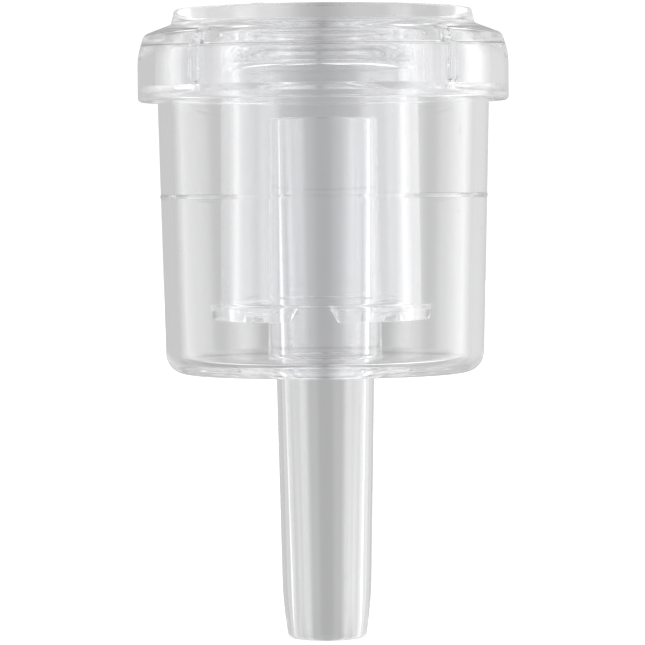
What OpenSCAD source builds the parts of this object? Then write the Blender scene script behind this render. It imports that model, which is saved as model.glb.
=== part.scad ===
// A three-piece bubbler airlock: a cup with a tapered stem below it and a riser
// tube inside it, an inverted cup that floats over the riser, and a vented lid.
//
// Millimetres, +Z up. The origin is on the axis, at the underside of the cup,
// where the stem begins. Every piece is turned about the Z axis.

/* [Cup] */
// Radius of the cup's outside at its foot
cup_foot_r = 17.15; // [16.5:0.05:21]
// Height of the cup, from its underside to its rim
cup_h = 34.8; // [32:0.1:45]
// Draft angle of the cup's wall, in degrees
cup_draft = 1.4; // [0.5:0.1:2]
// Thickness of the cup's wall
cup_wall = 1.45; // [1:0.05:2]
// Thickness of the cup's floor
cup_floor = 1.5; // [1:0.05:2.5]
// Radius of the rounded edge round the cup's foot
cup_corner = 2.2; // [1.8:0.1:3]
// Height of the fill line above the underside
fill_z = 19.1; // [12:0.1:26]
// How far the fill line stands proud of the wall
fill_proud = 0.1; // [0.05:0.01:0.3]
// Width of the fill line at its root
fill_w = 0.36; // [0.2:0.02:0.8]

/* [Riser] */
// How far the riser's top stands below the cup's rim
riser_drop = 7.3; // [5:0.1:12]
// Outer radius of the riser at its top
riser_r = 5.8; // [5:0.05:7]
// Draft angle of the riser's outside, in degrees
riser_draft = 0.8; // [0.2:0.1:1.2]
// Thickness of the riser's wall at its top
riser_wall = 0.94; // [0.8:0.02:1.1]

/* [Stem] */
// Length of the stem below the cup
stem_l = 28.7; // [22:0.1:40]
// Outer radius of the stem at the cup
stem_r = 5.3; // [4:0.05:5.8]
// Thickness of the stem's wall at the cup
stem_wall = 0.9; // [0.8:0.05:1.1]
// Taper of the stem, in degrees from its axis
stem_taper = 1.15; // [0.5:0.05:1.4]
// Height of the nose, which curves in from the taper
nose_h = 6.7; // [4:0.1:9]
// How far the nose has curved in at the tip
nose_inset = 0.52; // [0.2:0.02:0.6]
// Thickness of the wall at the tip
tip_wall = 0.64; // [0.6:0.02:0.8]
// Radius of the rounded edge of the tip
tip_edge = 0.5; // [0.2:0.05:0.5]

/* [Float] */
// Outer radius of the float's wall at its mouth
float_r = 10.85; // [10.2:0.05:12]
// Thickness of the float's wall and of its top
float_wall = 1.2; // [0.8:0.05:1.6]
// Draft angle of the float's wall, in degrees
float_draft = 0.5; // [0.1:0.1:1]
// Radius of the rounded edge round the float's top
float_corner = 1.4; // [0.6:0.1:2.5]
// How far the band round the mouth stands out from the wall, at its top
band_proud = 1.1; // [0.3:0.05:1.4]
// How far the band narrows from its top to the mouth
band_lean = 0.2; // [0:0.05:0.25]
// Height of the band
band_h = 1.7; // [1.4:0.1:3]
// Number of notches in the band
notch_count = 3; // [2:1:6]
// Width of a notch at its mouth
notch_w = 4.9; // [3:0.1:6]
// Width of a notch at its inner end
notch_end_w = 3.4; // [1.5:0.1:4]
// Height of a notch
notch_h = 1.3; // [0.6:0.1:1.6]
// Gap between the riser's top and the inside of the float when the float is down
float_top_gap = 1.5; // [0.2:0.05:2]
// Gap between the float's rim and the cup's floor when the float is down
float_foot_gap = 0.1; // [0.05:0.05:1]
// How far up from there the float is drawn
float_lift = 4.2; // [0:0.1:4.2]

/* [Lid] */
// Depth of the lid's skirt below the cup's rim
skirt_d = 5.5; // [4:0.1:9]
// Thickness of the skirt
skirt_wall = 1.8; // [1.4:0.05:2.4]
// Radial gap between the skirt and the cup's rim
skirt_gap = 0.2; // [0.15:0.01:0.4]
// Width of the seat that rests on the cup's rim
seat_w = 1.2; // [0.8:0.05:1.4]
// Height of the lid's ceiling above its seat
ceiling_h = 2.4; // [2.2:0.1:6]
// Thickness of the lid's top
lid_top = 2; // [1.6:0.05:3]
// Radius of the fillet round the ceiling
ceiling_fillet = 1.3; // [0.5:0.1:1.6]
// How far the raised top's foot is set in from the skirt's outside
top_inset = 3.6; // [3.2:0.1:6]
// How far the raised top narrows from its foot to its edge
top_lean = 0.4; // [0:0.05:0.8]
// Height of the raised top above the shoulder
top_h = 1.6; // [0.8:0.1:1.7]
// Fall of the shoulder from the raised top to the skirt
shoulder_fall = 1.1; // [0.6:0.05:1.3]
// How far the skirt leans in where it meets the shoulder
shoulder_lean = 0.7; // [0.2:0.05:1]

/* [Vents] */
// Number of vent channels
vent_count = 4; // [2:1:8]
// Width of a channel
vent_w = 1.3; // [0.8:0.1:2]
// Depth of a channel
vent_d = 0.45; // [0.2:0.05:0.5]
// Height of a channel's foot above the skirt's edge
vent_foot_h = 1.7; // [1:0.1:2.2]

/* [Hidden] */
$fn = 96;

clear_plastic = [0.86, 0.88, 0.92, 0.55];
arc_step = 15;          // largest turn between two points of a rounded corner
rim_edge = 0.3;         // rounding of a thin rim
nose_steps = 5;         // straight stretches that make up the nose's curve
root_fillet = 0.6;      // fillet where the riser stands on the floor
band_root = 0.25;       // fillet where the float's wall meets its band
shoulder_edge = 0.9;    // rounding of the lid's shoulder
skirt_curve = 7;        // long curve from the skirt into its lean
skirt_edge = 0.45;      // rounding of the skirt's lower edge
lean_h = 2.2;           // height of the stretch of skirt that leans in
lead_in = 0.4;          // widening of the skirt's mouth
lead_in_h = 1.6;        // height of that widening
float_shift = -0.4;     // the loose float stands this far off the axis, along X
float_turn = -3.4;      // and is turned this far
vent_turn = 45;         // angle of the first vent channel
gate_r = 0.9;           // mark that the moulding gate leaves on the lid
gate_h = 0.15;
gate_inset = 1.2;
gate_turn = 241;
past = 1;               // how far a cut runs past what it cuts

riser_h = cup_h - riser_drop;
nose_z = nose_h - stem_l;
tip_r = stem_outer_r(-stem_l);
cup_rim_r = cup_foot_r + cup_h * tan(cup_draft);
skirt_in_r = cup_rim_r + skirt_gap;
lid_r = skirt_in_r + skirt_wall;
seat_in_r = skirt_in_r - seat_w;
skirt_z = cup_h - skirt_d;
ceiling_z = cup_h + ceiling_h;
lid_z = ceiling_z + lid_top;
shoulder_z = lid_z - top_h;
top_r = lid_r - top_inset - top_lean;
float_down_z = cup_floor + float_foot_gap;
float_h = riser_h + float_top_gap + float_wall - float_down_z;

function unit(v) = v / norm(v);
function cross_2d(a, b) = a[0] * b[1] - a[1] * b[0];
function cup_r(z) = cup_foot_r + z * tan(cup_draft);
function float_wall_r(h) = float_r - h * tan(float_draft);
function stem_outer_r(z) =
    stem_r + z * tan(stem_taper) - nose_inset * pow(max(0, nose_z - z) / nose_h, 2);

// A corner rounded to the radius r, as points on its arc, where to_last and
// to_next point along the sides that meet there.
function arc(corner, to_last, to_next, r) =
    let (
        half = acos(to_last * to_next) / 2,
        side = cross_2d(to_last, to_next) < 0 ? 1 : -1,
        centre = corner + unit(to_last + to_next) * r / sin(half),
        start = corner + to_last * r / tan(half) - centre,
        first = atan2(start[1], start[0]),
        sweep = side * (180 - 2 * half),
        steps = ceil(abs(sweep) / arc_step)
    )
    [for (k = [0 : steps]) let (angle = first + sweep * k / steps) centre + r * [cos(angle), sin(angle)]];

// The points of a closed outline, from corners of the form [r, z, rounding],
// listed anticlockwise.
function outline(corners) =
    let (n = len(corners), at = [for (c = corners) [c[0], c[1]]])
    [for (i = [0 : n - 1])
        each (corners[i][2] > 0
            ? arc(at[i], unit(at[(i + n - 1) % n] - at[i]), unit(at[(i + 1) % n] - at[i]), corners[i][2])
            : [at[i]])];

module body_outline() {
    polygon(outline([
        [tip_r, -stem_l, tip_edge],
        for (i = [1 : nose_steps]) let (z = i / nose_steps * nose_h - stem_l) [stem_outer_r(z), z, 0],
        [stem_r, 0, rim_edge],
        [cup_foot_r, 0, cup_corner],
        [cup_r(fill_z - fill_w / 2), fill_z - fill_w / 2, 0],
        [cup_r(fill_z) + fill_proud, fill_z, 0],
        [cup_r(fill_z + fill_w / 2), fill_z + fill_w / 2, 0],
        [cup_rim_r, cup_h, rim_edge],
        [cup_rim_r - cup_wall, cup_h, rim_edge],
        [cup_r(cup_floor) - cup_wall, cup_floor, cup_corner - cup_wall],
        [riser_r + (riser_h - cup_floor) * tan(riser_draft), cup_floor, root_fillet],
        [riser_r, riser_h, rim_edge],
        [riser_r - riser_wall, riser_h, rim_edge],
        [stem_r - stem_wall, 0, 0],
        [tip_r - tip_wall, -stem_l, 0]
    ]));
}

module body() {
    color(clear_plastic) rotate_extrude() body_outline();
}

module float_outline() {
    polygon(outline([
        [float_r - float_wall, 0, 0],
        [float_r + band_proud - band_lean, 0, 0],
        [float_r + band_proud, band_h, 0],
        [float_wall_r(band_h), band_h, band_root],
        [float_wall_r(float_h), float_h, float_corner],
        [0, float_h, 0],
        [0, float_h - float_wall, 0],
        [float_wall_r(float_h) - float_wall, float_h - float_wall, float_corner / 2]
    ]));
}

// One notch through the band, cut outwards from the axis along -Y.
module notch() {
    flare = past * (notch_w - notch_end_w) / notch_h / 2;
    rotate([90, 0, 0]) linear_extrude(float_r + band_proud + past) polygon([
        [-notch_w / 2 - flare, -past],
        [notch_w / 2 + flare, -past],
        [notch_end_w / 2, notch_h],
        [-notch_end_w / 2, notch_h]
    ]);
}

module float() {
    color(clear_plastic)
    translate([float_shift, 0, float_down_z + float_lift]) rotate([0, 0, float_turn]) difference() {
        rotate_extrude() float_outline();
        for (i = [0 : notch_count - 1]) rotate([0, 0, i * 360 / notch_count]) notch();
    }
}

module lid_outline() {
    polygon(outline([
        [skirt_in_r + lead_in, skirt_z, 0],
        [lid_r, skirt_z, skirt_edge],
        [lid_r, shoulder_z - shoulder_fall - lean_h, skirt_curve],
        [lid_r - shoulder_lean, shoulder_z - shoulder_fall, shoulder_edge],
        [top_r + top_lean, shoulder_z, 0],
        [top_r, lid_z, rim_edge],
        [0, lid_z, 0],
        [0, ceiling_z, 0],
        [seat_in_r, ceiling_z, ceiling_fillet],
        [seat_in_r, cup_h, 0],
        [skirt_in_r, cup_h, 0],
        [skirt_in_r, skirt_z + lead_in_h, 0],
        [skirt_in_r + lead_in, skirt_z + lead_in_h / 2, 0]
    ]));
}

// The outline of the space that the vent channels reach: the lid's inside, with
// its walls moved out and its seat moved up by a channel's depth.
module vent_outline() {
    polygon(outline([
        [0, skirt_z - past, 0],
        [skirt_in_r + vent_d, skirt_z - past, 0],
        [skirt_in_r + vent_d, cup_h + vent_d, 0],
        [seat_in_r + vent_d, cup_h + vent_d, 0],
        [seat_in_r + vent_d, ceiling_z, ceiling_fillet],
        [0, ceiling_z, 0]
    ]));
}

// A bar along +X, as wide as a channel, with a round foot.
module vent_bar() {
    start_r = seat_in_r - ceiling_fillet;
    foot_z = skirt_z + vent_foot_h + vent_w / 2;
    translate([start_r, -vent_w / 2, foot_z]) cube([lid_r - start_r, vent_w, lid_z - foot_z]);
    translate([start_r, 0, foot_z]) rotate([0, 90, 0]) cylinder(h = lid_r - start_r, d = vent_w);
}

module vent_channels() {
    intersection() {
        rotate_extrude() vent_outline();
        for (i = [0 : vent_count - 1]) rotate([0, 0, vent_turn + i * 360 / vent_count]) vent_bar();
    }
}

module gate_mark() {
    rotate([0, 0, gate_turn]) translate([top_r - gate_inset - gate_r, 0, lid_z - lid_top / 2])
        cylinder(h = lid_top / 2 + gate_h, r = gate_r);
}

module lid() {
    color(clear_plastic) union() {
        difference() {
            rotate_extrude() lid_outline();
            vent_channels();
        }
        gate_mark();
    }
}

body();
float();
lid();
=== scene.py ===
"""A three-piece bubbler airlock in clear plastic, and the small studio it is shown in."""

import math

import bmesh
import bpy
from bpy.props import (
    FloatProperty,
    FloatVectorProperty,
    IntProperty,
    PointerProperty,
)
from mathutils import Matrix, Vector


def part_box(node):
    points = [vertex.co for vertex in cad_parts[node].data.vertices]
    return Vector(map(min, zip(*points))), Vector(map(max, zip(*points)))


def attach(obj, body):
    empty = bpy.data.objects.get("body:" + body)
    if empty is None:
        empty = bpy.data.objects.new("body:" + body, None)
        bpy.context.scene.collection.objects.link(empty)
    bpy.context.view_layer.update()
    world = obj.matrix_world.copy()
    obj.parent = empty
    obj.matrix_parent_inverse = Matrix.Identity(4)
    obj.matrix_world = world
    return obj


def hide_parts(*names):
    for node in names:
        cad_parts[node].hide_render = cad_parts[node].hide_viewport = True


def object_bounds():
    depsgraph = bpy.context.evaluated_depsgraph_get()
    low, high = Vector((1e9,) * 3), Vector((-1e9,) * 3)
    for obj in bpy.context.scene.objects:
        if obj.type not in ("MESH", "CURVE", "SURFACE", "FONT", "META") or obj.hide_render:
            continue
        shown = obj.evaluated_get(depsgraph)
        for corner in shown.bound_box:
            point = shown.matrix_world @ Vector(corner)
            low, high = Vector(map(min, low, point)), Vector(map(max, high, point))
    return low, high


bl_info = {
    "name": "Bubbler Airlock",
    "version": (1, 0, 0),
    "blender": (4, 5, 0),
    "location": "3D View > Sidebar > Airlock",
    "description": "Makes a clear three-piece bubbler airlock and a studio to show it in",
    "category": "Add Mesh",
}

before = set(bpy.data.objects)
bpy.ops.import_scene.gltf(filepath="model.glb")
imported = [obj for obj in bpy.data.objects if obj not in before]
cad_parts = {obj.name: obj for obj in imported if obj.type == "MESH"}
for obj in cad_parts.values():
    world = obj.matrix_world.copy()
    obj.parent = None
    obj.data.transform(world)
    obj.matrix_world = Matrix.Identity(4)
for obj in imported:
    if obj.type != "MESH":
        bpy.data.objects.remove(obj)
CAD_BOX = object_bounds()
CUP_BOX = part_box("body")
FLOAT_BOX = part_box("float")
LID_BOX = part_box("lid")

MM = 0.001
QUARTER = math.pi / 2
ARC_STEP = math.radians(7.5)  # largest turn between two rings of a rounded edge
ARC_STEPS = 4  # and the fewest stretches that make one
RING_GAP = 0.12 * MM  # a ring this near each rounded edge keeps the faces beyond it flat
WELD = 0.0001 * MM  # points nearer than this are one


# Sizes that the sidebar shows

def length(name, description, default):
    """A length that the sidebar shows, from millimetres."""
    return FloatProperty(
        name=name, description=description, default=default * MM, min=0.0, unit="LENGTH", precision=5
    )


def turn(name, description, degrees):
    """An angle that the sidebar shows."""
    return FloatProperty(name=name, description=description, default=math.radians(degrees), subtype="ANGLE")


class CupSizes(bpy.types.PropertyGroup):
    """Sizes of the cup, its riser and its stem."""

    foot_radius: length("Foot radius", "Outer radius of the cup at its foot", 17.15)
    height: length("Height", "Height of the cup above its underside", CUP_BOX[1].z / MM)
    draft: turn("Draft", "Draft angle of the cup's wall", 1.4)
    wall: length("Wall", "Thickness of the cup's wall", 1.45)
    floor: length("Floor", "Thickness of the cup's floor", 1.5)
    corner: length("Foot rounding", "Radius of the rounded edge round the cup's foot", 2.2)
    fill_height: length("Fill line height", "Height of the fill line above the underside", 19.1)
    fill_proud: length("Fill line depth", "How far the fill line stands proud of the wall", 0.1)
    fill_width: length("Fill line width", "Width of the fill line at its root", 0.36)
    riser_drop: length("Riser drop", "How far the riser's top stands below the cup's rim", 7.3)
    riser_radius: length("Riser radius", "Outer radius of the riser at its top", 5.8)
    riser_draft: turn("Riser draft", "Draft angle of the riser's outside", 0.8)
    riser_wall: length("Riser wall", "Thickness of the riser's wall at its top", 0.94)
    stem_length: length("Stem length", "Length of the stem below the cup", -CUP_BOX[0].z / MM)
    stem_radius: length("Stem radius", "Outer radius of the stem at the cup", 5.3)
    stem_wall: length("Stem wall", "Thickness of the stem's wall at the cup", 0.9)
    stem_taper: turn("Stem taper", "Taper of the stem from its axis", 1.15)
    nose_height: length("Nose height", "Height of the nose, which curves in from the taper", 6.7)
    nose_inset: length("Nose inset", "How far the nose has curved in at the tip", 0.52)
    tip_wall: length("Tip wall", "Thickness of the wall at the tip", 0.64)
    tip_edge: length("Tip rounding", "Radius of the rounded edge of the tip", 0.5)
    rim_edge: length("Rim rounding", "Radius of the rounded edges of the rims", 0.3)
    root_fillet: length("Riser root", "Fillet where the riser stands on the floor", 0.6)
    columns: IntProperty(name="Columns", description="Faces round the piece", default=320, min=24)


class FloatSizes(bpy.types.PropertyGroup):
    """Sizes of the inverted cup that floats over the riser."""

    radius: length("Radius", "Outer radius of the wall at the mouth", 10.85)
    wall: length("Wall", "Thickness of the wall and the top", 1.2)
    draft: turn("Draft", "Draft angle of the wall", 0.5)
    corner: length("Top rounding", "Radius of the rounded edge round the top", 1.4)
    band_proud: length("Band depth", "How far the band round the mouth stands out", 1.1)
    band_lean: length("Band lean", "How far the band narrows to the mouth", 0.2)
    band_height: length("Band height", "Height of the band", 1.7)
    band_root: length("Band root", "Fillet where the wall meets the band", 0.25)
    notch_count: IntProperty(name="Notches", description="Notches in the band", default=3, min=1)
    notch_width: length("Notch width", "Width of a notch at its mouth", 4.9)
    notch_end: length("Notch end", "Width of a notch at its inner end", 3.4)
    notch_height: length("Notch height", "Height of a notch", 1.3)
    height: length("Height", "Height of the piece", (FLOAT_BOX[1].z - FLOAT_BOX[0].z) / MM)
    rest_height: length("Rest height", "Height of its rim above the cup's underside", FLOAT_BOX[0].z / MM)
    shift: FloatProperty(
        name="Shift",
        description="How far the loose piece stands off the axis",
        default=(FLOAT_BOX[0].x + FLOAT_BOX[1].x) / 2,
        unit="LENGTH",
        precision=5,
    )
    twist: turn("Turn", "How far the loose piece is turned about its axis", -3.4)
    columns: IntProperty(name="Columns", description="Faces round the piece", default=416, min=24)
    crowding: FloatProperty(
        name="Crowding", description="How far columns are drawn towards the notches",
        default=0.6, min=0, max=0.9,
    )


class LidSizes(bpy.types.PropertyGroup):
    """Sizes of the lid and its vent channels."""

    radius: length("Radius", "Outer radius of the skirt", LID_BOX[1].x / MM)
    skirt_radius: length("Inner radius", "Inner radius of the skirt", 18.2)
    seat_radius: length("Seat radius", "Inner radius of the seat on the cup's rim", 17.0)
    seat_height: length("Seat height", "Height of the seat above the cup's underside", CUP_BOX[1].z / MM)
    foot_height: length("Skirt height", "Height of the skirt's edge above the underside", LID_BOX[0].z / MM)
    ceiling: length("Ceiling", "Height of the ceiling above the seat", 2.4)
    top: length("Top", "Thickness of the top", 2.0)
    fillet: length("Ceiling fillet", "Radius of the fillet round the ceiling", 1.3)
    top_radius: length("Top radius", "Radius of the raised top at its edge", 16.0)
    top_lean: length("Top lean", "How far the raised top widens to its foot", 0.4)
    top_height: length("Top height", "Height of the raised top above the shoulder", 1.6)
    shoulder_fall: length("Shoulder fall", "Fall of the shoulder to the skirt", 1.1)
    shoulder_lean: length("Shoulder lean", "How far the skirt leans in under the shoulder", 0.7)
    lean_height: length("Lean height", "Height of the stretch of skirt that leans in", 2.2)
    vent_count: IntProperty(name="Vents", description="Vent channels inside the lid", default=4, min=1)
    vent_width: length("Vent width", "Width of a vent channel", 1.3)
    vent_depth: length("Vent depth", "Depth of a vent channel", 0.45)
    vent_foot: length("Vent foot", "Height of a channel's foot above the skirt's edge", 1.7)
    vent_turn: turn("Vent turn", "Angle of the first vent channel", 45)
    gate_radius: length("Gate radius", "Radius of the mark that the moulding gate leaves", 0.9)
    gate_place: length("Gate place", "Distance of the gate mark from the axis", 13.9)
    gate_height: length("Gate height", "Height of the gate mark", 0.15)
    gate_turn: turn("Gate turn", "Angle of the gate mark", 241)
    columns: IntProperty(name="Columns", description="Faces round the piece", default=448, min=24)
    crowding: FloatProperty(
        name="Crowding", description="How far columns are drawn towards the vents",
        default=0.6, min=0, max=0.9,
    )


class PlasticLook(bpy.types.PropertyGroup):
    """Finish of the clear plastic."""

    tint: FloatVectorProperty(
        name="Tint", description="Colour of light through the plastic", subtype="COLOR", size=3,
        default=(0.99, 0.991, 0.993), min=0, max=1,
    )
    ior: FloatProperty(name="IOR", description="Refractive index", default=1.58, min=1, max=2)
    glow: FloatProperty(
        name="Glow", description="Faint glow that stands in for light caught inside the plastic",
        default=0.004, min=0, max=1,
    )
    glow_tint: FloatVectorProperty(
        name="Glow tint", description="Colour of the glow", subtype="COLOR", size=3,
        default=(1.0, 1.0, 1.0), min=0, max=1,
    )
    roughness: FloatProperty(name="Roughness", description="Roughness of the clean surface", default=0.015)
    waves: FloatProperty(
        name="Waves", description="Height of the moulding's slow waves, in micrometres", default=2.0
    )
    streaks: FloatProperty(
        name="Streaks", description="Height of the drawn streaks, in micrometres", default=0.25
    )
    marks: FloatProperty(
        name="Marks", description="Height of specks and scratches, in micrometres", default=6.0
    )


class StageLook(bpy.types.PropertyGroup):
    """Camera, floor and light of the studio."""

    distance: length("Camera distance", "Distance of the camera from the axis", 400.0)
    camera_height: length("Camera height", "Height of the camera above the cup's underside", 20.2)
    aim_height: length("Aim height", "Height that the camera aims at", 5.4)
    aim_side: FloatProperty(
        name="Aim side", description="Sideways aim of the camera", default=-0.27 * MM,
        unit="LENGTH", precision=5,
    )
    roll: turn("Roll", "Roll of the camera", -0.45)
    lens: FloatProperty(name="Lens", description="Focal length in millimetres", default=206.5)
    surround: FloatProperty(name="Surround", description="Brightness of the studio's walls", default=1.0)
    backdrop: FloatProperty(
        name="Backdrop", description="Brightness of the backdrop in front of the camera", default=1.1
    )


# Numbers inside a node tree

class Number:
    """A value in a node tree. Arithmetic on it adds Math nodes."""

    def __init__(self, tree, socket):
        self.tree, self.socket = tree, socket

    def math(self, operation, *others):
        return math_node(self.tree, operation, self, *others)

    def __add__(self, other):
        return self.math("ADD", other)

    def __sub__(self, other):
        return self.math("SUBTRACT", other)

    def __mul__(self, other):
        return self.math("MULTIPLY", other)

    def __truediv__(self, other):
        return self.math("DIVIDE", other)


def feed(tree, socket, value):
    """Joins a value to a socket, or sets it there."""
    if isinstance(value, Number):
        value = value.socket
    if isinstance(value, bpy.types.NodeSocket):
        tree.links.new(value, socket)
    else:
        socket.default_value = value


def add(tree, kind, inputs=(), **settings):
    """A new node, with its settings and its inputs by name or number."""
    node = tree.nodes.new(kind)
    for name, value in settings.items():
        setattr(node, name, value)
    for key, value in dict(inputs).items():
        feed(tree, node.inputs[key], value)
    return node


def math_node(tree, operation, *values):
    node = add(tree, "ShaderNodeMath", enumerate(values), operation=operation)
    return Number(tree, node.outputs[0])


def eased(tree, value, low, high):
    """0 at low and 1 at high, with a soft start and end."""
    node = add(
        tree, "ShaderNodeMapRange", {"Value": value, "From Min": low, "From Max": high},
        interpolation_type="SMOOTHSTEP",
    )
    return Number(tree, node.outputs["Result"])


def parts(tree, vector):
    """X, Y and Z of a vector."""
    node = add(tree, "ShaderNodeSeparateXYZ", {0: vector})
    return [Number(tree, output) for output in node.outputs]


def vector_of(tree, x, y, z):
    return add(tree, "ShaderNodeCombineXYZ", {0: x, 1: y, 2: z}).outputs[0]


# Outlines

def cross_2d(a, b):
    return a.x * b.y - a.y * b.x


def rounded_corner(last, corner, following, radius):
    """Points on the arc that rounds a corner."""
    to_last = (last - corner).normalized()
    to_next = (following - corner).normalized()
    half = to_last.angle(to_next) / 2
    side = 1 if cross_2d(to_last, to_next) < 0 else -1
    centre = corner + (to_last + to_next).normalized() * radius / math.sin(half)
    spoke = corner + to_last * radius / math.tan(half) - centre
    sweep = side * (math.pi - 2 * half)
    steps = max(ARC_STEPS, math.ceil(abs(sweep) / ARC_STEP))
    points = []
    for step in range(steps + 1):
        angle = sweep * step / steps
        x = spoke.x * math.cos(angle) - spoke.y * math.sin(angle)
        y = spoke.x * math.sin(angle) + spoke.y * math.cos(angle)
        points.append(centre + Vector((x, y)))
    return points


def outline(corners, closed):
    """Rings of a turned piece, from corners (radius, height, rounding, grow), listed anticlockwise.

    grow is how far a corner moves out and up where the piece is cut back; each ring comes with its own.
    """
    places = [Vector(corner[:2]) for corner in corners]
    grows = [Vector(corner[3]) if len(corner) > 3 else Vector((0, 0)) for corner in corners]
    count = len(corners)
    runs = []
    for i, corner in enumerate(corners):
        inner = closed or 0 < i < count - 1
        if inner and corner[2] > 0:
            points = rounded_corner(places[i - 1], places[i], places[(i + 1) % count], corner[2])
        else:
            points = [places[i]]
        runs.append([(point, grows[i]) for point in points])
    rings = []
    for i, run in enumerate(runs):
        rings += run
        if i == count - 1 and not closed:
            break
        start, following = run[-1], runs[(i + 1) % count][0]
        span = (following[0] - start[0]).length
        if span > 4 * RING_GAP:
            for share in (RING_GAP / span, 1 - RING_GAP / span):
                rings.append((start[0].lerp(following[0], share), start[1].lerp(following[1], share)))
    if closed:
        rings.append(rings[0])
    return rings


def rings_between(start, end, count, grow=(0, 0)):
    """Plain rings on the straight stretch between two corners, without its ends."""
    rings = []
    for k in range(1, count + 1):
        place = Vector(start).lerp(Vector(end), k / (count + 1))
        rings.append((place.x, place.y, 0, grow))
    return rings


def cup_rings(size):
    """Outline of the cup, its riser and its stem."""
    slope = math.tan(size.draft)
    riser_height = size.height - size.riser_drop
    nose_top = size.nose_height - size.stem_length
    nose_steps = 14

    def cup_radius(z):
        return size.foot_radius + z * slope

    def stem_radius(z):
        curve = max(0, nose_top - z) / size.nose_height
        return size.stem_radius + z * math.tan(size.stem_taper) - size.nose_inset * curve ** 2

    tip = -size.stem_length
    fill, half = size.fill_height, size.fill_width / 2
    nose_heights = [tip + size.nose_height * k / nose_steps for k in range(2, nose_steps + 1)]
    nose = [(stem_radius(z), z, 0) for z in nose_heights]
    riser_foot = size.riser_radius + (riser_height - size.floor) * math.tan(size.riser_draft)
    return outline(
        [
            (stem_radius(tip), tip, size.tip_edge),
            *nose,
            (size.stem_radius, 0, size.rim_edge),
            (size.foot_radius, 0, size.corner),
            (cup_radius(fill - half), fill - half, 0.04 * MM),
            (cup_radius(fill) + size.fill_proud, fill, 0.1 * MM),
            (cup_radius(fill + half), fill + half, 0.04 * MM),
            (cup_radius(size.height), size.height, size.rim_edge),
            (cup_radius(size.height) - size.wall, size.height, size.rim_edge),
            (cup_radius(size.floor) - size.wall, size.floor, size.corner - size.wall),
            (riser_foot, size.floor, size.root_fillet),
            (size.riser_radius, riser_height, size.rim_edge),
            (size.riser_radius - size.riser_wall, riser_height, size.rim_edge),
            (size.stem_radius - size.stem_wall, 0, 0.2 * MM),
            (stem_radius(tip) - size.tip_wall, tip, 0.12 * MM),
        ],
        closed=True,
    )


def float_rings(size):
    """Outline of the inverted cup, from its own rim upwards."""
    edge = 0.1 * MM

    def wall_radius(z):
        return size.radius - z * math.tan(size.draft)

    inner = size.radius - size.wall
    band = size.radius + size.band_proud
    mouth = band - size.band_lean
    top = size.height
    inner_top = wall_radius(top) - size.wall
    share = size.band_height / (top - size.wall)
    return outline(
        [
            (0, top - size.wall, 0),
            (inner_top, top - size.wall, size.corner / 2),
            (inner + (inner_top - inner) * share, size.band_height, 0),
            (inner, 0, edge),
            (mouth, 0, edge),
            (band, size.band_height, 0.2 * MM),
            (wall_radius(size.band_height), size.band_height, size.band_root),
            (wall_radius(top), top, size.corner),
            (0, top, 0),
        ],
        closed=False,
    )


def lid_rings(size):
    """Outline of the lid. Each inside corner grows by a channel's depth where a channel runs."""
    edge = 0.1 * MM
    depth = size.vent_depth
    ceiling = size.seat_height + size.ceiling
    lid_top = ceiling + size.top
    shoulder = lid_top - size.top_height
    out, out_and_up = (depth, 0), (depth, depth)
    inner = size.skirt_radius
    foot = size.foot_height
    lead_in, lead_in_height = 0.4 * MM, 1.6 * MM
    channel_low, channel_high = foot + lead_in_height, foot + 3.0 * MM
    gate_zone = 1.2 * MM
    gate_low, gate_high = size.gate_place - gate_zone, size.gate_place + gate_zone
    return outline(
        [
            (0, ceiling, 0),
            (size.seat_radius, ceiling, size.fillet, out),
            (size.seat_radius, size.seat_height, edge, out_and_up),
            (inner, size.seat_height, edge / 2, out_and_up),
            (inner, channel_high, 0, out),
            *rings_between((inner, channel_high), (inner, channel_low), 13, out),
            (inner, channel_low, edge, out),
            (inner + lead_in, foot + lead_in_height / 2, edge),
            (inner + lead_in, foot, edge),
            (size.radius, foot, 0.45 * MM),
            (size.radius, shoulder - size.shoulder_fall - size.lean_height, 7 * MM),
            (size.radius - size.shoulder_lean, shoulder - size.shoulder_fall, 0.9 * MM),
            (size.top_radius + size.top_lean, shoulder, 0.12 * MM),
            (size.top_radius, lid_top, 0.3 * MM),
            (gate_high, lid_top, 0),
            *rings_between((gate_high, lid_top), (gate_low, lid_top), 17),
            (gate_low, lid_top, 0),
            (0, lid_top, 0),
        ],
        closed=False,
    )


# Turned pieces

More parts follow.
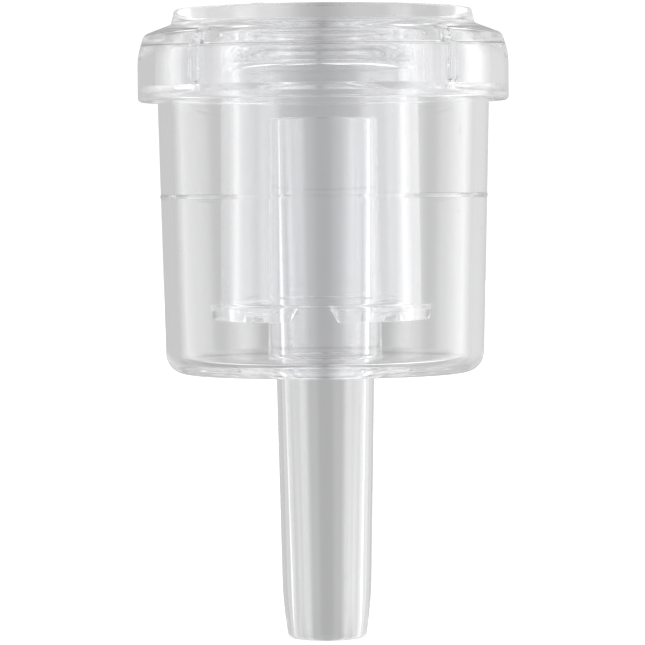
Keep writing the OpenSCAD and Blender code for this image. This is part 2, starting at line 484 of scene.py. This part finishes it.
class TurnedTree:
    """A Geometry Nodes tree that turns an outline round the Z axis."""

    def __init__(self, name):
        self.tree = bpy.data.node_groups.new(name, "GeometryNodeTree")
        self.values = {}
        self.tree.interface.new_socket("Outline", in_out="INPUT", socket_type="NodeSocketGeometry")
        self.tree.interface.new_socket("Piece", in_out="OUTPUT", socket_type="NodeSocketGeometry")
        self.group_in = self.tree.nodes.new("NodeGroupInput")

    def named(self, name, value, kind="NodeSocketFloat"):
        """A named input of the tree, with the value that this piece gives it."""
        item = self.tree.interface.new_socket(name, in_out="INPUT", socket_type=kind)
        self.values[item.identifier] = value
        return Number(self.tree, self.group_in.outputs[name])

    def turned(self, columns, crowds=1, crowding=0.0):
        """Radius, height, angle and grow of each point of the turned piece."""
        tree = self.tree
        counted = add(tree, "GeometryNodeAttributeDomainSize", {0: self.group_in.outputs["Outline"]})
        rows = Number(tree, counted.outputs["Point Count"])
        grid = add(
            tree, "GeometryNodeMeshGrid",
            {"Size X": 1.0, "Size Y": 1.0, "Vertices X": columns + 1, "Vertices Y": rows},
        )
        self.grid = grid.outputs["Mesh"]
        index = Number(tree, add(tree, "GeometryNodeInputIndex").outputs[0])
        row = index.math("MODULO", rows)
        column = (index / rows).math("FLOOR")
        even = column / columns * math.tau
        angle = even - (even * crowds).math("SINE") * crowding / crowds
        place = self.sampled(add(tree, "GeometryNodeInputPosition").outputs[0], row)
        grown = add(tree, "GeometryNodeInputNamedAttribute", {"Name": "grow"}, data_type="FLOAT_VECTOR")
        grow = self.sampled(grown.outputs[0], row)
        return place[0], place[2], angle, grow[0], grow[2]

    def sampled(self, value, row):
        node = add(
            self.tree, "GeometryNodeSampleIndex",
            {"Geometry": self.group_in.outputs["Outline"], "Value": value, "Index": row},
            data_type="FLOAT_VECTOR",
        )
        return parts(self.tree, node.outputs[0])

    def placed(self, radius, height, angle, material, side=0.0):
        """Ends the tree: puts every point in its place, welds the seam and gives the finish."""
        tree = self.tree
        x = radius * angle.math("COSINE") + side
        y = radius * angle.math("SINE")
        position = vector_of(tree, x, y, height)
        moved = add(tree, "GeometryNodeSetPosition", {"Geometry": self.grid, "Position": position})
        welded = add(tree, "GeometryNodeMergeByDistance", {"Geometry": moved.outputs[0], "Distance": WELD})
        smooth = add(tree, "GeometryNodeSetShadeSmooth", {"Geometry": welded.outputs[0]})
        real = add(tree, "GeometryNodeRealizeInstances", {"Geometry": smooth.outputs[0]})
        finish = add(tree, "GeometryNodeSetMaterial", {"Geometry": real.outputs[0], "Material": material})
        end = self.tree.nodes.new("NodeGroupOutput")
        tree.links.new(finish.outputs[0], end.inputs[0])


def turned_piece(name, rings, maker):
    """A closed mesh, made by a Geometry Nodes tree on the outline and then made plain."""
    outline_mesh = bpy.data.meshes.new(name)
    points = [(point.x, 0, point.y) for point, _ in rings]
    outline_mesh.from_pydata(points, [(i, i + 1) for i in range(len(rings) - 1)], [])
    grow = outline_mesh.attributes.new("grow", "FLOAT_VECTOR", "POINT")
    for item, (_, g) in zip(grow.data, rings):
        item.vector = (g.x, 0, g.y)
    piece = bpy.data.objects.new(name, outline_mesh)
    bpy.context.scene.collection.objects.link(piece)
    modifier = piece.modifiers.new("Turned", "NODES")
    modifier.node_group = maker.tree
    for identifier, value in maker.values.items():
        modifier[identifier] = value
    depsgraph = bpy.context.evaluated_depsgraph_get()
    made = bpy.data.meshes.new_from_object(piece.evaluated_get(depsgraph))
    piece.modifiers.clear()
    piece.data = made
    made.name = name
    bpy.data.meshes.remove(outline_mesh)
    for attribute in [a for a in made.attributes if a.name == "grow"]:
        made.attributes.remove(attribute)
    solid = bmesh.new()
    solid.from_mesh(made)
    volume = solid.calc_volume(signed=True)
    loose = [edge for edge in solid.edges if len(edge.link_faces) != 2]
    if volume < 0:
        bmesh.ops.reverse_faces(solid, faces=solid.faces)
        solid.to_mesh(made)
    solid.free()
    if loose:
        raise RuntimeError(f"{name} isn't closed: {len(loose)} edges don't join two faces")
    return piece


def cup_tree(size, material):
    maker = TurnedTree("Turned Cup")
    columns = maker.named("Columns", size.columns, "NodeSocketInt")
    radius, height, angle, _, _ = maker.turned(columns)
    maker.placed(radius, height, angle, material)
    return maker


def float_tree(size, material):
    """The inverted cup: its band and rim lift where a notch is cut."""
    maker = TurnedTree("Turned Float")
    tree = maker.tree
    columns = maker.named("Columns", size.columns, "NodeSocketInt")
    count = maker.named("Notches", size.notch_count, "NodeSocketInt")
    crowding = maker.named("Crowding", size.crowding)
    mouth = maker.named("Notch Width", size.notch_width)
    end = maker.named("Notch End", size.notch_end)
    notch_height = maker.named("Notch Height", size.notch_height)
    band = maker.named("Band Height", size.band_height)
    rest = maker.named("Rest Height", size.rest_height)
    shift = maker.named("Shift", size.shift)
    twist = maker.named("Turn", size.twist)
    radius, height, angle, _, _ = maker.turned(columns, count, crowding)
    pitch = math_node(tree, "DIVIDE", math.tau, count)
    off = angle - (angle / pitch).math("ROUND") * pitch
    side = (radius * off.math("SINE")).math("ABSOLUTE")
    share = ((mouth - side * 2.0) / (mouth - end)).math("MAXIMUM", 0.0).math("MINIMUM", 1.0)
    lift = share * notch_height
    pressed = lift + height * (band - lift) / band
    in_band = height.math("LESS_THAN", band)
    raised = height + (pressed - height) * in_band
    maker.placed(radius, raised + rest, angle + twist - QUARTER, material, shift)
    return maker


def lid_tree(size, material):
    """The lid: vent channels are pressed out of its inside, and the gate leaves a low mark on its top."""
    maker = TurnedTree("Turned Lid")
    tree = maker.tree
    columns = maker.named("Columns", size.columns, "NodeSocketInt")
    count = maker.named("Vents", size.vent_count, "NodeSocketInt")
    crowding = maker.named("Crowding", size.crowding)
    width = maker.named("Vent Width", size.vent_width)
    first = maker.named("Vent Turn", size.vent_turn)
    foot = maker.named("Vent Foot", size.foot_height + size.vent_foot + size.vent_width / 2)
    gate_radius = maker.named("Gate Radius", size.gate_radius)
    gate_place = maker.named("Gate Place", size.gate_place)
    gate_height = maker.named("Gate Height", size.gate_height)
    gate_turn = maker.named("Gate Turn", size.gate_turn)
    top = maker.named("Top", size.seat_height + size.ceiling + size.top)
    radius, height, bare_angle, grow_out, grow_up = maker.turned(columns, count, crowding)
    angle = bare_angle + first
    pitch = math_node(tree, "DIVIDE", math.tau, count)
    off = bare_angle - (bare_angle / pitch).math("ROUND") * pitch
    side = radius * off.math("SINE")
    below = (foot - height).math("MAXIMUM", 0.0)
    reach = (side * side + below * below).math("SQRT")
    soft = 0.07 * MM
    channel = eased(tree, reach, width * 0.5 + soft, width * 0.5 - soft)
    toward_gate = radius * gate_place * 2.0 * (angle - gate_turn).math("COSINE")
    gate_off = (radius * radius + gate_place * gate_place - toward_gate).math("MAXIMUM", 0.0).math("SQRT")
    on_top = height.math("GREATER_THAN", top - 0.02 * MM)
    mark = eased(tree, gate_off, gate_radius, gate_radius - 0.25 * MM) * on_top * gate_height
    maker.placed(radius + grow_out * channel, height + grow_up * channel + mark, angle, material)
    return maker


# Finishes

def clear_plastic(name, look, seed):
    """Clear moulded plastic: slow waves from the mould, drawn streaks, and a few specks and scratches."""
    material = bpy.data.materials.new(name)
    material.use_nodes = True
    tree = material.node_tree
    shader = tree.nodes["Principled BSDF"]
    place = add(tree, "ShaderNodeTexCoord").outputs["Object"]

    def pattern(scale, turn_by=(0, 0, 0), offset=(0, 0, 0)):
        inputs = {"Vector": place, "Scale": scale, "Rotation": turn_by, "Location": offset}
        return add(tree, "ShaderNodeMapping", inputs).outputs[0]

    def noise(vector, detail=1.0):
        inputs = {"Vector": vector, "Scale": 1.0, "Detail": detail}
        node = add(tree, "ShaderNodeTexNoise", inputs, noise_dimensions="3D")
        return Number(tree, node.outputs[0])

    def flecks(vector, small, large, share):
        cells = add(tree, "ShaderNodeTexVoronoi", {"Vector": vector, "Scale": 1.0}, feature="F1")
        spot = eased(tree, cells.outputs["Distance"], large, small)
        pick = add(tree, "ShaderNodeSeparateColor", {0: cells.outputs["Color"]}).outputs[0]
        return spot * Number(tree, pick).math("GREATER_THAN", 1 - share)

    waves = noise(pattern((170, 170, 60), offset=(seed, 0, 0)))
    streaks = noise(pattern((2600, 2600, 45), offset=(0, seed, 0)), 2.0)
    specks = flecks(pattern((520, 520, 520), offset=(seed, seed, 0)), 0.03, 0.09, 0.12)
    scratches = flecks(pattern((1500, 1500, 190), (0.5, 0.2, 0.3), (0, seed, seed)), 0.04, 0.12, 0.02)
    marks = (specks + scratches).math("MINIMUM", 1.0)
    tint = add(tree, "ShaderNodeMix", data_type="RGBA")
    red, green, blue = look.tint
    feed_mix(tree, tint, waves, (red, green, blue, 1), (red * 0.995, green * 0.995, blue, 1))
    spotted = add(tree, "ShaderNodeMix", data_type="RGBA")
    feed_mix(tree, spotted, marks * 0.5, tint.outputs[2], (0.8, 0.8, 0.84, 1))
    tree.links.new(spotted.outputs[2], shader.inputs["Base Color"])
    roughness = streaks * 0.012 + marks * 0.25 + look.roughness
    feed(tree, shader.inputs["Roughness"], roughness)
    height = waves * look.waves + streaks * look.streaks + marks * look.marks
    bump = add(tree, "ShaderNodeBump", {"Strength": 1.0, "Distance": 1e-6, "Height": height})
    feed(tree, shader.inputs["Normal"], bump.outputs[0])
    shader.inputs["IOR"].default_value = look.ior
    shader.inputs["Transmission Weight"].default_value = 1.0
    # Painted glow: a faint emission over the whole plastic, a painted light that stands in for light caught
    # inside it
    shader.inputs["Emission Color"].default_value = (*look.glow_tint, 1)
    shader.inputs["Emission Strength"].default_value = look.glow
    material.cycles.emission_sampling = "NONE"
    return material


def feed_mix(tree, node, factor, a, b):
    """A Mix node has a set of sockets for each kind of value; these are the ones for colours."""
    feed(tree, node.inputs[0], factor)
    feed(tree, node.inputs[6], a)
    feed(tree, node.inputs[7], b)


# Operators

def finish_piece(piece, name):
    """The piece rides on its body and stands for its CAD node."""
    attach(piece, name)
    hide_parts(name)


class AIRLOCK_OT_cup(bpy.types.Operator):
    """Make the cup with its riser and its stem"""

    bl_idname = "airlock.cup"
    bl_label = "Make Cup"

    def execute(self, context):
        size, look = context.scene.airlock_cup, context.scene.airlock_plastic
        material = clear_plastic("Cup Clear Plastic", look, 3.0)
        piece = turned_piece("cup", cup_rings(size), cup_tree(size, material))
        finish_piece(piece, "body")
        return {"FINISHED"}


class AIRLOCK_OT_float(bpy.types.Operator):
    """Make the inverted cup that floats over the riser"""

    bl_idname = "airlock.float"
    bl_label = "Make Float"

    def execute(self, context):
        size, look = context.scene.airlock_float, context.scene.airlock_plastic
        material = clear_plastic("Float Clear Plastic", look, 11.0)
        piece = turned_piece("inverted_cup", float_rings(size), float_tree(size, material))
        finish_piece(piece, "float")
        return {"FINISHED"}


class AIRLOCK_OT_lid(bpy.types.Operator):
    """Make the vented lid"""

    bl_idname = "airlock.lid"
    bl_label = "Make Lid"

    def execute(self, context):
        size, look = context.scene.airlock_lid, context.scene.airlock_plastic
        material = clear_plastic("Lid Clear Plastic", look, 23.0)
        piece = turned_piece("vented_lid", lid_rings(size), lid_tree(size, material))
        finish_piece(piece, "lid")
        return {"FINISHED"}


# The studio: grey walls with strips and softboxes. Angles are degrees to the right of straight ahead
WALL_TONE = 0.58
SOFT_EDGE = 10  # over which a panel fades into the wall
PANELS = (  # middle, half its width, and how much brighter than the wall it is
    (0, 5, -0.13),  # dark strip behind the object, which shades its middle
    (60, 50, 0.15),  # the right-hand side of the room is lighter
    (-65, 10, 0.8),  # two softboxes on each side, with grey between them
    (-115, 10, 1.2),
    (65, 10, 1.0),
    (115, 10, 1.4),
    (180, 20, -0.25),  # dark wall behind the camera
)
HIGH_SHARE, LOW_SHARE = 1.1, 0.75  # the same walls above and below
BAND_START, BAND_END = 0.26, 0.42  # sines of the angles up and down between which these set in
MOST_BOUNCES = 80  # clear walls inside clear walls need many


def wall_light(context, look):
    """The studio's walls, as a world: white where the camera sees it, and grey in the plastic."""
    world = bpy.data.worlds.new("Studio Walls")
    context.scene.world = world
    world.use_nodes = True
    tree = world.node_tree
    tree.nodes.clear()
    direction = add(tree, "ShaderNodeTexCoord").outputs["Generated"]
    x, y, z = parts(tree, direction)
    around = x.math("ARCTAN2", y) * (180 / math.pi)
    tone = WALL_TONE
    for middle, half_width, brighter in PANELS:
        away = ((around - middle + 540.0).math("MODULO", 360.0) - 180.0).math("ABSOLUTE")
        tone = eased(tree, away, half_width + SOFT_EDGE / 2, half_width - SOFT_EDGE / 2) * brighter + tone
    above = eased(tree, z, BAND_START, BAND_END) * (HIGH_SHARE - 1)
    below = eased(tree, z, -BAND_START, -BAND_END) * (LOW_SHARE - 1)
    tone = tone * (above + below + 1.0)
    wall = add(tree, "ShaderNodeBackground", {"Color": tone, "Strength": look.surround})
    backdrop = add(tree, "ShaderNodeBackground", {"Color": (1, 1, 1, 1), "Strength": look.backdrop})
    straight = add(tree, "ShaderNodeLightPath").outputs["Is Camera Ray"]
    mixed = add(tree, "ShaderNodeMixShader", {0: straight, 1: wall.outputs[0], 2: backdrop.outputs[0]})
    end = add(tree, "ShaderNodeOutputWorld")
    tree.links.new(mixed.outputs[0], end.inputs[0])


class AIRLOCK_OT_stage(bpy.types.Operator):
    """Make the floor, the studio's light and the camera"""

    bl_idname = "airlock.stage"
    bl_label = "Make Stage"

    def execute(self, context):
        look = context.scene.airlock_stage
        scene = context.scene
        wall_light(context, look)
        grid = bmesh.new()
        bmesh.ops.create_grid(grid, x_segments=8, y_segments=8, size=1.5)
        mesh = bpy.data.meshes.new("floor")
        grid.to_mesh(mesh)
        grid.free()
        mesh.transform(Matrix.Translation((0, 0, CAD_BOX[0].z)))
        floor = bpy.data.objects.new("floor", mesh)
        scene.collection.objects.link(floor)
        paper = bpy.data.materials.new("Floor Paper")
        paper.use_nodes = True
        tree = paper.node_tree
        shader = tree.nodes["Principled BSDF"]
        place = add(tree, "ShaderNodeTexCoord").outputs["Object"]
        grain = add(tree, "ShaderNodeTexNoise", {"Vector": place, "Scale": 60.0, "Detail": 4.0})
        shade = add(tree, "ShaderNodeMix", data_type="RGBA")
        feed_mix(tree, shade, grain.outputs[0], (0.86, 0.86, 0.86, 1), (0.9, 0.9, 0.9, 1))
        feed(tree, shader.inputs["Base Color"], shade.outputs[2])
        shader.inputs["Roughness"].default_value = 0.9
        feed(tree, shader.inputs["Emission Color"], shade.outputs[2])
        shader.inputs["Emission Strength"].default_value = 0.75
        mesh.materials.append(paper)
        floor.visible_glossy = False
        floor.visible_transmission = False

        data = bpy.data.cameras.new("Camera")
        camera = bpy.data.objects.new("Camera", data)
        scene.collection.objects.link(camera)
        eye = Vector((0, -look.distance, look.camera_height))
        ahead = (Vector((look.aim_side, 0, look.aim_height)) - eye).normalized()
        level = ahead.cross(Vector((0, 0, 1))).normalized()
        upright = level.cross(ahead)
        right = level * math.cos(look.roll) + upright * math.sin(look.roll)
        up = upright * math.cos(look.roll) - level * math.sin(look.roll)
        camera.matrix_world = Matrix(
            [(right[i], up[i], -ahead[i], eye[i]) for i in range(3)] + [(0, 0, 0, 1)]
        )
        data.lens = look.lens
        data.sensor_width = 36.0
        data.clip_start = 0.01
        scene.camera = camera
        scene.view_settings.view_transform = "Standard"
        scene.cycles.max_bounces = MOST_BOUNCES
        scene.cycles.transmission_bounces = MOST_BOUNCES
        scene.cycles.glossy_bounces = MOST_BOUNCES
        return {"FINISHED"}


class AIRLOCK_PT_make(bpy.types.Panel):
    """The buttons that make the airlock"""

    bl_label = "Bubbler Airlock"
    bl_idname = "AIRLOCK_PT_make"
    bl_space_type = "VIEW_3D"
    bl_region_type = "UI"
    bl_category = "Airlock"

    def draw(self, context):
        for operator in OPERATORS:
            self.layout.operator(operator.bl_idname)


GROUPS = {
    "airlock_cup": CupSizes,
    "airlock_float": FloatSizes,
    "airlock_lid": LidSizes,
    "airlock_plastic": PlasticLook,
    "airlock_stage": StageLook,
}
OPERATORS = (AIRLOCK_OT_cup, AIRLOCK_OT_float, AIRLOCK_OT_lid, AIRLOCK_OT_stage)
CLASSES = (*GROUPS.values(), *OPERATORS, AIRLOCK_PT_make)


def register():
    for cls in CLASSES:
        bpy.utils.register_class(cls)
    for name, group in GROUPS.items():
        setattr(bpy.types.Scene, name, PointerProperty(type=group))


def unregister():
    for name in GROUPS:
        delattr(bpy.types.Scene, name)
    for cls in reversed(CLASSES):
        bpy.utils.unregister_class(cls)


def main():
    register()
    bpy.ops.airlock.cup()
    bpy.ops.airlock.float()
    bpy.ops.airlock.lid()
    bpy.ops.airlock.stage()


if __name__ == "__main__":
    main()
